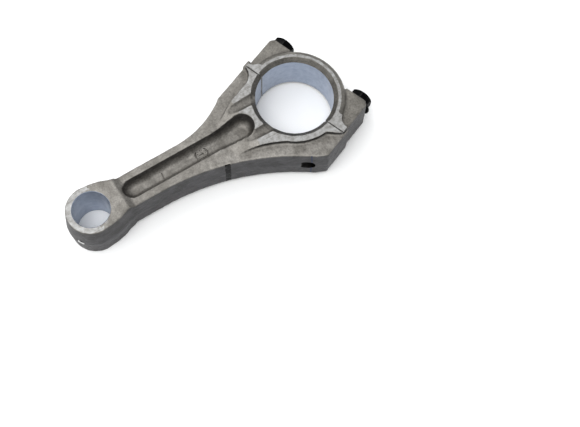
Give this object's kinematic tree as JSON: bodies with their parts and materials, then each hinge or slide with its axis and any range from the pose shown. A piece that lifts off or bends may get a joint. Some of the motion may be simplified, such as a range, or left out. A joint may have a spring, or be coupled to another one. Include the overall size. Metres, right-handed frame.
{
  "type": "connecting rod",
  "caption": "Cast aluminium connecting rod of a small engine: plain pin and crankpin bores, oblique split big eye with bolted bearing cap.",
  "frame": {"origin": "middle of the bounding box at its underside: the rod lies on the side faces of its two eyes", "axes": "+X along the rod from the pin bore to the crankpin bore, +Z along both bores"},
  "size_m": [0.15, 0.067, 0.0228],
  "materials": {
    "cast_rod": "as-cast satin, machined side faces and bores",
    "cast_cap": "as-cast satin, machined joint and bore",
    "bolt_steel": "black oxide"
  },
  "bodies": {
    "rod": {"rod_body": "cast_rod"},
    "cap": {"bearing_cap": "cast_cap"},
    "near_bolt": {"cap_bolt_near": "bolt_steel"},
    "far_bolt": {"cap_bolt_far": "bolt_steel"}
  },
  "joints": [
    {"name": "cap_lift", "type": "slide", "parent": "rod", "child": "cap", "axis": [0.9336, 0.3584, 0], "range_m": [0, 0.045]},
    {"name": "near_bolt_out", "type": "slide", "parent": "cap", "child": "near_bolt", "axis": [0.9336, 0.3584, 0], "range_m": [0, 0.04]},
    {"name": "far_bolt_out", "type": "slide", "parent": "cap", "child": "far_bolt", "axis": [0.9336, 0.3584, 0], "range_m": [0, 0.04]}
  ]
}
